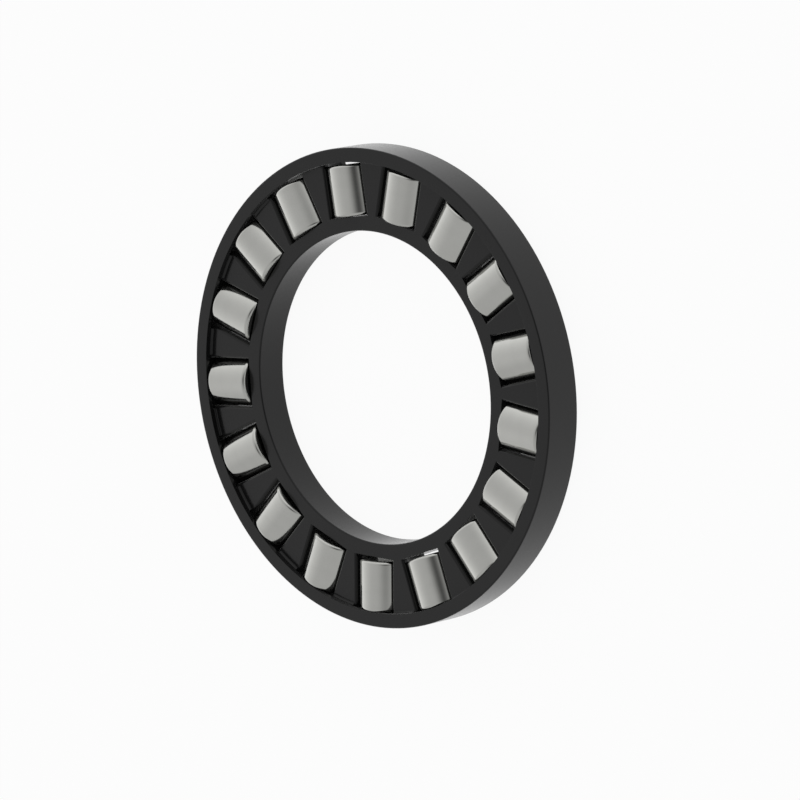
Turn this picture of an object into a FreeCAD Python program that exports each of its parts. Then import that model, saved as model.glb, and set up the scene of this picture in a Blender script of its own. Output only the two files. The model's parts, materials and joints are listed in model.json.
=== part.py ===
import FreeCAD, Part
import math
import os

# Thrust roller and cage assembly, lying flat with its axis on +Z, in millimetres.
# The origin is on the axis, at the level of the rollers' undersides.
# A one-piece moulded cage holds a ring of cylindrical rollers whose axes point at the centre.

# Shaft and housing that the assembly runs between
shaft_diameter = 30.0
housing_diameter = 47.0
shaft_clearance = 0.2        # radial, between the shaft and the cage's bore
housing_clearance = 0.2      # radial, between the cage's outside and the housing

# Rollers, as long as the cage's walls leave room for
roller_count = 17
roller_diameter = 5.0
roller_end_break = 0.25      # chamfer between a roller's barrel and its flat ends

# Cage section
web_height = 3.3             # webs and inner rim, centred on the rollers' axes
rim_rise = 0.7               # how far the outer rim's upper face stands above the webs
rim_wall = 1.4               # outer rim, between its recess wall and the outside
rim_root_round = 0.25        # radius where the webs meet the outer rim's inner wall
edge_break = 0.2             # chamfer on the cage's outer and bore edges
recess_edge_break = 0.1      # chamfer on the outer rim's inner edge

# Pockets
end_wall = 1.35              # cage wall between a pocket's end and the bore or the outside
pocket_side_clearance = 0.1  # between a roller's barrel and the round pocket walls
pocket_end_clearance = 0.2   # between a roller's flat ends and the pocket's ends
lip_depth = 0.3              # how far the retaining lips lie below the webs' faces
roller_slide_share = 0.6     # share of the end clearance by which the rollers have slid to one side

# Worked out from the sizes above
full_turn = 360.0
roller_radius = roller_diameter / 2
bore_radius = shaft_diameter / 2 + shaft_clearance
outside_radius = housing_diameter / 2 - housing_clearance
recess_radius = outside_radius - rim_wall
roller_spacing = full_turn / roller_count
axis_height = roller_radius

web_top = web_height / 2
cage_bottom = -web_height / 2
rim_top = web_top + rim_rise

pocket_radius = roller_radius + pocket_side_clearance
pocket_inner_end = bore_radius + end_wall
pocket_outer_end = outside_radius - end_wall
pocket_length = pocket_outer_end - pocket_inner_end
pitch_radius = (pocket_inner_end + pocket_outer_end) / 2
roller_length = pocket_length - 2 * pocket_end_clearance
lip_height = web_top - lip_depth
lip_half_width = math.sqrt(pocket_radius ** 2 - lip_height ** 2)
roller_slide = pocket_end_clearance * roller_slide_share

cutter_margin = 1.0          # how far the pocket cutters run past the cage's faces

x_axis = FreeCAD.Vector(1, 0, 0)
z_axis = FreeCAD.Vector(0, 0, 1)
centre = FreeCAD.Vector(0, 0, 0)


def section_face(edges):
    """A face from the edges of a closed outline."""
    return Part.Face(Part.Wire(edges))


def polygon_edges(points):
    """Straight edges through points, left open at the end."""
    return [Part.makeLine(a, b) for a, b in zip(points[:-1], points[1:])]


def cage_blank():
    """The turned form of the cage before its pockets, about Z, with the rollers' axes at z = 0."""

    def at(radius, height):
        return FreeCAD.Vector(radius, 0, height)

    root_start = at(recess_radius - rim_root_round, web_top)
    root_end = at(recess_radius, web_top + rim_root_round)
    root_swing = rim_root_round * math.sqrt(0.5)
    root_middle = at(
        recess_radius - rim_root_round + root_swing,
        web_top + rim_root_round - root_swing,
    )
    before_root = [
        at(bore_radius + edge_break, cage_bottom),
        at(bore_radius, cage_bottom + edge_break),
        at(bore_radius, web_top - edge_break),
        at(bore_radius + edge_break, web_top),
        root_start,
    ]
    after_root = [
        root_end,
        at(recess_radius, rim_top - recess_edge_break),
        at(recess_radius + recess_edge_break, rim_top),
        at(outside_radius - edge_break, rim_top),
        at(outside_radius, rim_top - edge_break),
        at(outside_radius, cage_bottom + edge_break),
        at(outside_radius - edge_break, cage_bottom),
        before_root[0],
    ]
    root = Part.Arc(root_start, root_middle, root_end).toShape()
    edges = polygon_edges(before_root) + [root] + polygon_edges(after_root)
    return section_face(edges).revolve(centre, z_axis, full_turn)


def mouth_cutter(side):
    """The tapered opening of a pocket on one face: side is 1 for the upper face, -1 for the lower one."""
    face_height = side * web_top
    outer_height = side * (rim_top + cutter_margin)
    section = [
        (-pocket_radius, outer_height),
        (-pocket_radius, face_height),
        (-lip_half_width, side * lip_height),
        (lip_half_width, side * lip_height),
        (pocket_radius, face_height),
        (pocket_radius, outer_height),
    ]
    points = [FreeCAD.Vector(pocket_inner_end, y, z) for y, z in section]
    outline = polygon_edges(points + points[:1])
    return section_face(outline).extrude(x_axis * pocket_length)


def pocket_cutter():
    """One pocket on +X: a round seat along the roller's axis, and a tapered mouth on each face."""
    start = FreeCAD.Vector(pocket_inner_end, 0, 0)
    seat = Part.makeCylinder(pocket_radius, pocket_length, start, x_axis)
    return seat.fuse([mouth_cutter(1), mouth_cutter(-1)])


def turned_about_z(shape, index):
    """A copy of shape at the place of roller number index, counted from +X."""
    copy = shape.copy()
    copy.rotate(centre, z_axis, index * roller_spacing)
    return copy


def build_cage():
    """The cage, one moulded piece: bored ring, recessed webs, raised outer rim and lipped pockets."""
    cutter = pocket_cutter()
    cutters = [turned_about_z(cutter, index) for index in range(roller_count)]
    return cage_blank().cut(cutters)


def build_roller(slide):
    """One roller along +X with chamfered ends, moved outwards by slide from the pitch circle."""
    half_length = roller_length / 2
    flat_radius = roller_radius - roller_end_break
    barrel_half = half_length - roller_end_break
    half_section = [
        (-half_length, 0),
        (-half_length, flat_radius),
        (-barrel_half, roller_radius),
        (barrel_half, roller_radius),
        (half_length, flat_radius),
        (half_length, 0),
    ]
    points = [FreeCAD.Vector(pitch_radius + slide + x, 0, z) for x, z in half_section]
    outline = polygon_edges(points + points[:1])
    return section_face(outline).revolve(centre, x_axis, full_turn)


def write_node(name, shape):
    """Lifts a solid from the rollers' axes to the part's own level and writes it."""
    placed = shape.copy()
    placed.translate(z_axis * axis_height)
    placed.exportStep("parts/" + name + ".step")
    print(name, "volume", round(placed.Volume, 2), "solids", len(placed.Solids), "valid", placed.isValid())


os.makedirs("parts", exist_ok=True)
write_node("cage", build_cage())
for roller_index in range(roller_count):
    # Every roller has slid a little towards -Y, so its place along its own axis follows its angle
    angle = math.radians(roller_index * roller_spacing)
    roller = turned_about_z(build_roller(-roller_slide * math.sin(angle)), roller_index)
    write_node("roller_%02d" % (roller_index + 1), roller)
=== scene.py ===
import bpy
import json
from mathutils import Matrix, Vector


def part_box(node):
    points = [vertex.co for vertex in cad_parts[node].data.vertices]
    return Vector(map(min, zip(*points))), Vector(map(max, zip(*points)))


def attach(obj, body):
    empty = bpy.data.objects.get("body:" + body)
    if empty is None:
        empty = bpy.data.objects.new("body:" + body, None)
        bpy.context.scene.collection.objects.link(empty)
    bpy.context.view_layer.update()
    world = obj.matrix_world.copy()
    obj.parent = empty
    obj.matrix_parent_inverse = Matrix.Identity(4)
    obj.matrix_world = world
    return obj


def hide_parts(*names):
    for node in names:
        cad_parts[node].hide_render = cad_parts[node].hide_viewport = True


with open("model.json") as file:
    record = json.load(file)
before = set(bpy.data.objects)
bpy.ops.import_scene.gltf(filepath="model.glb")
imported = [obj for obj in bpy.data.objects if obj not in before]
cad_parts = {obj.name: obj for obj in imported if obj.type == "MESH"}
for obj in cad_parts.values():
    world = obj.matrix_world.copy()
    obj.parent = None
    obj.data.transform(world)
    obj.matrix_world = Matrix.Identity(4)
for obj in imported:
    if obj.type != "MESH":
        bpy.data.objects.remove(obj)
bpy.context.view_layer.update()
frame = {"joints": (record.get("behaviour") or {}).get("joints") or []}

import json
import math
import bmesh
import bpy
from mathutils import Matrix, Vector

# Thrust roller cage assembly: steel rollers in a black moulded cage, lying flat on its rollers.
# The pieces are drawn in millimetres and brought to metres once they are shaped.

millimetre = 0.001
quarterTurn = math.pi / 2
spins = sorted(frame["joints"], key=lambda joint: joint["name"])
rollerNames = [joint["child"] for joint in spins]
rollerAngles = [math.atan2(joint["axis"][1], joint["axis"][0]) for joint in spins]


def inMillimetres(node):
    return [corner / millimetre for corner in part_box(node)]


cageLow, cageHigh = inMillimetres("cage")
rollerLow, rollerHigh = inMillimetres(rollerNames[0])
axisHeight = spins[0]["pos_m"][2] / millimetre
rollerRadius = axisHeight                      # the rollers lie on the floor
rollerLength = rollerHigh.x - rollerLow.x


def middleOf(node):
    # a roller's middle: its own place in plan, at the height of all the rollers' axes
    low, high = inMillimetres(node)
    middle = (low + high) / 2
    middle.z = axisHeight
    return middle


print("frame: %d rollers of %.1f x %.1f mm" % (len(rollerNames), 2 * rollerRadius, rollerLength))


# Hand tools

def layDown():
    # leaves edit mode and lets go of everything, so the next operator starts clean
    if bpy.context.object and bpy.context.object.mode != "OBJECT":
        bpy.ops.object.mode_set(mode="OBJECT")
    bpy.ops.object.select_all(action="DESELECT")


def takeUp(piece):
    layDown()
    piece.select_set(True)
    bpy.context.view_layer.objects.active = piece


def newPiece(name):
    # names the primitive that was just added and fixes its place in its mesh
    piece = bpy.context.object
    piece.name = name
    piece.data.name = name
    bpy.ops.object.transform_apply(location=True, rotation=True, scale=True)
    return piece


def grabEdges(piece, test):
    # opens edit mode with only the edges whose two ends pass the test
    takeUp(piece)
    bpy.ops.object.mode_set(mode="EDIT")
    bpy.ops.mesh.select_mode(type="EDGE")
    bpy.ops.mesh.select_all(action="DESELECT")
    mesh = bmesh.from_edit_mesh(piece.data)
    for edge in mesh.edges:
        if all(test(corner.co) for corner in edge.verts):
            edge.select_set(True)
    bmesh.update_edit_mesh(piece.data)


def grabFaces(piece, test):
    # opens edit mode with only the faces whose middle and normal pass the test
    takeUp(piece)
    bpy.ops.object.mode_set(mode="EDIT")
    bpy.ops.mesh.select_mode(type="FACE")
    bpy.ops.mesh.select_all(action="DESELECT")
    mesh = bmesh.from_edit_mesh(piece.data)
    mesh.normal_update()
    for face in mesh.faces:
        if test(face.calc_center_median(), face.normal):
            face.select_set(True)
    bmesh.update_edit_mesh(piece.data)


def useModifier(piece, kind, **settings):
    takeUp(piece)
    modifier = piece.modifiers.new(kind.lower(), kind)
    for setting, value in settings.items():
        setattr(modifier, setting, value)
    bpy.ops.object.modifier_apply(modifier=modifier.name)


def copyTurned(piece, name, turn, shift=Vector((0, 0, 0))):
    # a copy with its own mesh, turned about the ring's axis and then moved
    twin = piece.copy()
    twin.data = piece.data.copy()
    twin.name = twin.data.name = name
    bpy.context.collection.objects.link(twin)
    twin.data.transform(Matrix.Translation(shift) @ Matrix.Rotation(turn, 4, "Z"))
    return twin


def toMetres(piece):
    takeUp(piece)
    piece.scale = (millimetre,) * 3
    bpy.ops.object.transform_apply(location=False, rotation=False, scale=True)


def smooth(piece, sharpFrom):
    takeUp(piece)
    bpy.ops.object.shade_smooth_by_angle(angle=math.radians(sharpFrom))
    useModifier(piece, "WEIGHTED_NORMAL", keep_sharp=True)


# Cage: a low inner rim level with the webs, a raised outer rim and one lipped pocket for each roller

cage = {
    "boreRadius": 15.2,
    "rimWall": 1.4,            # outer rim, recess wall to outside
    "rimRise": 0.7,            # outer rim above the webs
    "stepsPerPocket": 10,      # flats round the ring, so many to a pocket
    "edgeRound": 0.15,         # outer and bore edges
    "rootRound": 0.25,         # where the webs meet the outer rim
    "roundSteps": 4,
    "endWall": 1.35,           # pocket end to bore or outside
    "sideClearance": 0.1,      # roller to pocket seat
    "lipOverlap": 0.1,         # how far a lip reaches over its roller
    "mouthRound": 0.3,         # where a lip turns out into the web's face
    "seatSteps": 72,
    "mouthSteps": 6,
    "cutSlack": 0.0001,        # how near the cut a corner of the cutter counts as on it
    "edgeSlack": 0.01,         # how near a radius and height a corner of the ring counts as there
    "weldWithin": 0.001,       # corners closer than this become one
    "mouthLift": 0.01,         # how far the mouth's round would run on above the face
    "fineRound": 0.02,         # every other edge
    "fineSteps": 2,
    "sharpFrom": 32,
}
cage["outsideRadius"] = cageHigh.x
cage["recessRadius"] = cage["outsideRadius"] - cage["rimWall"]
cage["bottom"] = cageLow.z
cage["rimTop"] = cageHigh.z
cage["webTop"] = cage["rimTop"] - cage["rimRise"]


def roundRing(ring, radius, height, width):
    # rounds the circular edge at that radius and height
    slack = cage["edgeSlack"]

    def onEdge(place):
        return abs(place.xy.length - radius) < slack and abs(place.z - height) < slack

    grabEdges(ring, onEdge)
    bpy.ops.mesh.bevel(offset=width, segments=cage["roundSteps"], affect="EDGES")


def drawRing():
    # the ring before its pockets, drawn round from the bore's lower edge
    bore, outside, recess = cage["boreRadius"], cage["outsideRadius"], cage["recessRadius"]
    bottom, webTop, rimTop = cage["bottom"], cage["webTop"], cage["rimTop"]
    corners = [(bore, bottom), (outside, bottom), (outside, rimTop), (recess, rimTop),
               (recess, webTop), (bore, webTop), (bore, bottom)]
    bpy.ops.mesh.primitive_circle_add(
        vertices=len(rollerNames) * cage["stepsPerPocket"], radius=bore, location=(0, 0, bottom))
    ring = newPiece("mouldedCage")
    bpy.ops.object.mode_set(mode="EDIT")
    bpy.ops.mesh.select_all(action="SELECT")
    for (radius, height), (nextRadius, nextHeight) in zip(corners, corners[1:]):
        bpy.ops.mesh.extrude_region_move(
            TRANSFORM_OT_translate={"value": (0, 0, nextHeight - height)})
        share = nextRadius / radius
        bpy.ops.transform.resize(value=(share, share, 1), center_override=(0, 0, nextHeight))
    bpy.ops.mesh.select_all(action="SELECT")
    bpy.ops.mesh.remove_doubles(threshold=cage["weldWithin"])
    bpy.ops.mesh.normals_make_consistent(inside=False)
    roundRing(ring, recess, webTop, cage["rootRound"])
    for radius, height in ((bore, bottom), (bore, webTop), (outside, bottom), (outside, rimTop)):
        roundRing(ring, radius, height, cage["edgeRound"])
    layDown()
    return ring


def addRod(name, steps, radius, length):
    # a rod along X, with its middle at the origin
    bpy.ops.object.select_all(action="DESELECT")
    bpy.ops.mesh.primitive_cylinder_add(
        vertices=steps, radius=radius, depth=length, rotation=(0, quarterTurn, 0))
    return newPiece(name)


def mouthOutline(lipFoot):
    # half-widths and heights over the rollers' axes, from a seat's edge up a lip and round into the face
    lipHalf, mouthRound = rollerRadius - cage["lipOverlap"], cage["mouthRound"]
    roundFoot = cage["webTop"] - axisHeight - mouthRound + cage["mouthLift"]
    outline = [(lipHalf, lipFoot)]
    for step in range(cage["mouthSteps"] + 1):
        angle = quarterTurn * step / cage["mouthSteps"]
        outline.append((
            lipHalf + mouthRound * (1 - math.cos(angle)),
            roundFoot + mouthRound * math.sin(angle)))
    # the cut stops under the outer rim's upper edge, but high enough to clear the rollers' ends
    top = cage["webTop"] - axisHeight + cage["rootRound"] + cage["fineRound"]
    return outline + [(lipHalf + mouthRound, top)]


def drawPocket():
    # one pocket on +X as a solid to cut with: a round seat with a lipped mouth on each face
    seatRadius = rollerRadius + cage["sideClearance"]
    innerEnd = cage["boreRadius"] + cage["endWall"]
    outerEnd = cage["outsideRadius"] - cage["endWall"]
    lipFoot = math.sqrt(seatRadius ** 2 - (rollerRadius - cage["lipOverlap"]) ** 2)
    bpy.ops.object.select_all(action="DESELECT")
    bpy.ops.mesh.primitive_circle_add(
        vertices=cage["seatSteps"], radius=seatRadius, fill_type="NGON",
        location=(innerEnd, 0, axisHeight), rotation=(0, quarterTurn, 0))
    pocket = newPiece("pocketCutter")
    outline = mouthOutline(lipFoot)
    for side in (1, -1):
        foot = axisHeight + side * lipFoot
        takeUp(pocket)
        bpy.ops.object.mode_set(mode="EDIT")
        bpy.ops.mesh.select_all(action="SELECT")
        bpy.ops.mesh.bisect(plane_co=(0, 0, foot), plane_no=(0, 0, side), clear_outer=True)
        grabEdges(pocket, lambda place: abs(place.z - foot) < cage["cutSlack"])
        for (half, height), (nextHalf, nextHeight) in zip(outline, outline[1:]):
            bpy.ops.mesh.extrude_region_move(
                TRANSFORM_OT_translate={"value": (0, 0, side * (nextHeight - height))})
            bpy.ops.transform.resize(value=(1, nextHalf / half, 1), center_override=(0, 0, 0))
    bpy.ops.mesh.select_all(action="SELECT")
    bpy.ops.mesh.extrude_region_move(TRANSFORM_OT_translate={"value": (outerEnd - innerEnd, 0, 0)})
    bpy.ops.mesh.select_all(action="SELECT")
    bpy.ops.mesh.normals_make_consistent(inside=False)
    layDown()
    return pocket


def makeCage():
    ring = drawRing()
    pocket = drawPocket()
    for number, angle in enumerate(rollerAngles):
        cutter = copyTurned(pocket, "cutter%d" % number, angle)
        useModifier(ring, "BOOLEAN", operation="DIFFERENCE", solver="EXACT", object=cutter)
        bpy.data.objects.remove(cutter)
    bpy.data.objects.remove(pocket)
    useModifier(ring, "BEVEL", width=cage["fineRound"], segments=cage["fineSteps"],
                limit_method="ANGLE", angle_limit=math.radians(cage["sharpFrom"]),
                use_clamp_overlap=False)
    smooth(ring, cage["sharpFrom"])
    toMetres(ring)
    return ring


# Rollers: one is shaped, and the others are its copies, turned to their pockets

roller = {
    "steps": 96,
    "endRound": 0.32,
    "roundSteps": 5,
    "endFacing": 0.99,         # cosine from which a face counts as an end face
    "faceInset": 0.25,         # keeps the flat of the end face flat in the shading
    "sharpFrom": 40,
}


def drawRoller():
    endRound = roller["endRound"]
    piece = addRod("rollerPattern", roller["steps"], rollerRadius, rollerLength - 2 * endRound)
    for side in (1, -1):
        grabFaces(piece, lambda place, normal: side * normal.x > roller["endFacing"])
        radius, reach = rollerRadius, 0
        for step in range(1, roller["roundSteps"] + 1):
            angle = quarterTurn * step / roller["roundSteps"]
            nextRadius = rollerRadius - endRound * (1 - math.cos(angle))
            nextReach = endRound * math.sin(angle)
            bpy.ops.mesh.extrude_region_move(
                TRANSFORM_OT_translate={"value": (side * (nextReach - reach), 0, 0)})
            share = nextRadius / radius
            bpy.ops.transform.resize(value=(1, share, share), center_override=(0, 0, 0))
            radius, reach = nextRadius, nextReach
        bpy.ops.mesh.inset(thickness=roller["faceInset"])
        layDown()
    smooth(piece, roller["sharpFrom"])
    return piece


def makeRollers():
    pattern = drawRoller()
    pieces = []
    for name, angle in zip(rollerNames, rollerAngles):
        piece = copyTurned(pattern, "steel_" + name, angle, middleOf(name))
        toMetres(piece)
        pieces.append(piece)
    bpy.data.objects.remove(pattern)
    return pieces


# Materials

noiseMiddle = (0.3, 0.7)       # most of a noise's values lie between these


def newMaterial(name):
    material = bpy.data.materials.new(name)
    material.use_nodes = True
    nodes, links = material.node_tree.nodes, material.node_tree.links
    return material, nodes, links, nodes["Principled BSDF"]


def noise(nodes, links, source, scale, detail, stretch=(1, 1, 1)):
    mapping = nodes.new("ShaderNodeMapping")
    mapping.inputs["Scale"].default_value = stretch
    links.new(source, mapping.inputs["Vector"])
    texture = nodes.new("ShaderNodeTexNoise")
    texture.inputs["Scale"].default_value = scale
    texture.inputs["Detail"].default_value = detail
    links.new(mapping.outputs["Vector"], texture.inputs["Vector"])
    return texture.outputs["Fac"]


def between(nodes, links, value, low, high):
    # spreads the middle of a noise over the span from low to high
    spread = nodes.new("ShaderNodeMapRange")
    spread.inputs["From Min"].default_value = noiseMiddle[0]
    spread.inputs["From Max"].default_value = noiseMiddle[1]
    spread.inputs["To Min"].default_value = low
    spread.inputs["To Max"].default_value = high
    links.new(value, spread.inputs["Value"])
    return spread.outputs["Result"]


def twoTone(nodes, links, value, first, second):
    mix = nodes.new("ShaderNodeMix")
    mix.data_type = "RGBA"
    links.new(value, mix.inputs["Factor"])
    mix.inputs["A"].default_value = (*first, 1)
    mix.inputs["B"].default_value = (*second, 1)
    return mix.outputs["Result"]


def grain(nodes, links, shader, height, strength, depth):
    bump = nodes.new("ShaderNodeBump")
    bump.inputs["Strength"].default_value = strength
    bump.inputs["Distance"].default_value = depth
    links.new(height, bump.inputs["Height"])
    links.new(bump.outputs["Normal"], shader.inputs["Normal"])


nylon = {
    "dark": (0.0030, 0.0030, 0.0032),
    "light": (0.0052, 0.0052, 0.0052),
    "mottleScale": 150,         # per metre, a few millimetres across
    "mottleDetail": 3,
    "grainScale": 4200,
    "grainDetail": 4,
    "roughness": (0.15, 0.22),
    "refraction": 1.5,
    "gloss": 0.31,
    "sheen": 0.35,
    "sheenRoughness": 0.35,
    "grainStrength": 0.2,
    "grainDepth": 0.000012,
}


def blackNylon():
    material, nodes, links, shader = newMaterial("blackNylon")
    place = nodes.new("ShaderNodeTexCoord").outputs["Object"]
    mottle = noise(nodes, links, place, nylon["mottleScale"], nylon["mottleDetail"])
    fine = noise(nodes, links, place, nylon["grainScale"], nylon["grainDetail"])
    links.new(twoTone(nodes, links, mottle, nylon["dark"], nylon["light"]), shader.inputs["Base Color"])
    links.new(between(nodes, links, fine, *nylon["roughness"]), shader.inputs["Roughness"])
    shader.inputs["IOR"].default_value = nylon["refraction"]
    shader.inputs["Specular IOR Level"].default_value = nylon["gloss"]
    shader.inputs["Sheen Weight"].default_value = nylon["sheen"]
    shader.inputs["Sheen Roughness"].default_value = nylon["sheenRoughness"]
    grain(nodes, links, shader, fine, nylon["grainStrength"], nylon["grainDepth"])
    return material


steel = {
    "dark": (0.485, 0.487, 0.463),
    "light": (0.545, 0.546, 0.521),
    "cloudScale": 6,            # over the barrel's own map, which runs once round it
    "lineScale": 90,
    "lineStretch": (0.04, 4, 1),
    "detail": 3,
    "roughness": (0.1, 0.15),
    "lineStrength": 0.08,
    "lineDepth": 0.000002,
}


def groundSteel():
    material, nodes, links, shader = newMaterial("groundSteel")
    place = nodes.new("ShaderNodeTexCoord").outputs["UV"]
    clouds = noise(nodes, links, place, steel["cloudScale"], steel["detail"])
    lines = noise(nodes, links, place, steel["lineScale"], steel["detail"], steel["lineStretch"])
    links.new(twoTone(nodes, links, clouds, steel["dark"], steel["light"]), shader.inputs["Base Color"])
    links.new(between(nodes, links, lines, *steel["roughness"]), shader.inputs["Roughness"])
    shader.inputs["Metallic"].default_value = 1
    grain(nodes, links, shader, lines, steel["lineStrength"], steel["lineDepth"])
    return material


def dress(piece, material):
    piece.data.materials.clear()
    piece.data.materials.append(material)


# Studio: a white floor, a soft sky that is brighter to the left and the top of the picture, and the camera

picture = {
    "size": 800,               # pixels
    "ringCentre": (382.0, 386.3),
    "ringRadius": 242.2,       # the cage's outside, in pixels
    "turn": 43.6,              # degrees that the ring's face is turned to the left
    "tilt": 7.98,              # degrees that its axis points down
    "clock": 8.81,             # degrees from the picture's right to the first roller
    "distance": 560.0,         # millimetres from the camera to the ring
    "sensor": 36.0,
    "nearest": 0.05,           # metres that the camera sees from and to
    "farthest": 20.0,
}


def pictureAxes():
    # the camera's right, up and back in the ring's frame
    turn, tilt = -math.radians(picture["turn"]), math.radians(picture["tilt"])
    facing = Vector((math.sin(turn) * math.cos(tilt), math.sin(tilt), -math.cos(turn) * math.cos(tilt)))
    across = Vector((0, 1, 0)).cross(facing).normalized()
    down = facing.cross(across)
    clock = Matrix.Rotation(-math.radians(picture["clock"]), 3, "Z")
    right = clock @ Vector((-across.x, -down.x, facing.x))
    up = clock @ Vector((across.y, down.y, -facing.y))
    back = clock @ Vector((across.z, down.z, -facing.z))
    return right, up, back


def addCamera():
    right, up, back = pictureAxes()
    outside = cage["outsideRadius"]
    focal = picture["ringRadius"] * picture["distance"] / outside   # pixels
    perPixel = picture["distance"] / focal
    offset = [(value - picture["size"] / 2) * perPixel for value in picture["ringCentre"]]
    target = Vector((0, 0, (cage["bottom"] + cage["rimTop"]) / 2))
    place = target + back * picture["distance"] - right * offset[0] + up * offset[1]
    data = bpy.data.cameras.new("camera")
    data.sensor_width = picture["sensor"]
    data.lens = focal / picture["size"] * picture["sensor"]
    data.clip_start = picture["nearest"]
    data.clip_end = picture["farthest"]
    camera = bpy.data.objects.new("camera", data)
    bpy.context.collection.objects.link(camera)
    bearing = Matrix((right, up, back)).transposed().to_4x4()
    camera.matrix_world = Matrix.Translation(place * millimetre) @ bearing
    bpy.context.scene.camera = camera


studio = {
    "floorSize": 6.0,
    "floorColour": (0.9, 0.9, 0.9),
    "floorGlow": 0.94,         # share of the floor's white that no shadow reaches
    "skyLevel": 0.64,          # overhead
    "sweepGain": 0.55,         # how much brighter the sky is low down, at the picture's left and top
    "sweepPower": 1.2,
    "sweepHeading": 35,        # degrees from the picture's top towards its left
    "sweepEdge": (-0.2, 0.3),  # cosines between which the bright side begins
    "dimness": 0.88,           # of the dark side behind the camera
    "dimWidth": 0.092,         # how far the dark side spreads
}


def calculate(nodes, links, operation, first, second=0.0, clamp=False):
    # one arithmetic step, where either value is a number or another node's output
    step = nodes.new("ShaderNodeMath")
    step.operation = operation
    step.use_clamp = clamp
    for socket, value in zip(step.inputs, (first, second)):
        if isinstance(value, (int, float)):
            socket.default_value = value
        else:
            links.new(value, socket)
    return step.outputs["Value"]


def addFloor():
    bpy.ops.object.select_all(action="DESELECT")
    bpy.ops.mesh.primitive_plane_add(size=studio["floorSize"])
    floor = newPiece("floor")
    material, nodes, links, shader = newMaterial("paleFloor")
    shader.inputs["Base Color"].default_value = (*studio["floorColour"], 1)
    shader.inputs["Roughness"].default_value = 1
    shader.inputs["Specular IOR Level"].default_value = 0
    glow = nodes.new("ShaderNodeEmission")
    glow.inputs["Strength"].default_value = 1
    rays = nodes.new("ShaderNodeLightPath").outputs
    seen = calculate(nodes, links, "ADD", rays["Is Camera Ray"], rays["Is Glossy Ray"], clamp=True)
    seen = calculate(nodes, links, "ADD", seen, rays["Is Transmission Ray"], clamp=True)
    mix = nodes.new("ShaderNodeMixShader")
    links.new(calculate(nodes, links, "MULTIPLY", seen, studio["floorGlow"]), mix.inputs["Fac"])
    links.new(shader.outputs["BSDF"], mix.inputs[1])
    links.new(glow.outputs["Emission"], mix.inputs[2])
    links.new(mix.outputs["Shader"], nodes["Material Output"].inputs["Surface"])
    dress(floor, material)


def along(nodes, links, direction, heading):
    # how far a direction points along a heading, from -1 to 1
    dot = nodes.new("ShaderNodeVectorMath")
    dot.operation = "DOT_PRODUCT"
    links.new(direction, dot.inputs[0])
    dot.inputs[1].default_value = heading
    return dot.outputs["Value"]


def addSky():
    world = bpy.data.worlds.new("studio")
    bpy.context.scene.world = world
    world.use_nodes = True
    nodes, links = world.node_tree.nodes, world.node_tree.links
    direction = nodes.new("ShaderNodeTexCoord").outputs["Generated"]
    right, up, back = pictureAxes()

    # the white sweep to the left and above, brightest near the floor
    pictureTop = Vector((up.x, up.y, 0)).normalized()
    heading = Matrix.Rotation(math.radians(studio["sweepHeading"]), 3, "Z") @ pictureTop
    side = nodes.new("ShaderNodeMapRange")
    side.interpolation_type = "SMOOTHSTEP"
    side.inputs["From Min"].default_value = studio["sweepEdge"][0]
    side.inputs["From Max"].default_value = studio["sweepEdge"][1]
    links.new(along(nodes, links, direction, heading), side.inputs["Value"])
    height = along(nodes, links, direction, (0, 0, 1))
    lowness = calculate(nodes, links, "SUBTRACT", 1.0, height, clamp=True)
    lowness = calculate(nodes, links, "POWER", lowness, studio["sweepPower"])
    sweep = calculate(nodes, links, "MULTIPLY", lowness, side.outputs["Result"])
    sweep = calculate(nodes, links, "MULTIPLY", sweep, studio["sweepGain"])
    level = calculate(nodes, links, "ADD", sweep, studio["skyLevel"])

    # the room behind the camera is dark
    behind = calculate(nodes, links, "SUBTRACT", along(nodes, links, direction, back), 1.0)
    behind = calculate(nodes, links, "DIVIDE", behind, studio["dimWidth"])
    behind = calculate(nodes, links, "EXPONENT", behind)
    behind = calculate(nodes, links, "MULTIPLY", behind, studio["dimness"])
    level = calculate(nodes, links, "MULTIPLY", level, calculate(nodes, links, "SUBTRACT", 1.0, behind))
    background = nodes["Background"]
    links.new(level, background.inputs["Strength"])
    background.inputs["Color"].default_value = (1, 1, 1, 1)


bpy.context.scene.view_settings.view_transform = "Standard"
addCamera()
addFloor()
addSky()
print("studio: floor, sky and camera")

cagePiece = makeCage()
dress(cagePiece, blackNylon())
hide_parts("cage")
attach(cagePiece, "cage")
print("cage: %d faces" % len(cagePiece.data.polygons))

steelMaterial = groundSteel()
for name, piece in zip(rollerNames, makeRollers()):
    dress(piece, steelMaterial)
    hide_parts(name)
    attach(piece, name)
print("rollers: %d pieces" % len(rollerNames))

layDown()
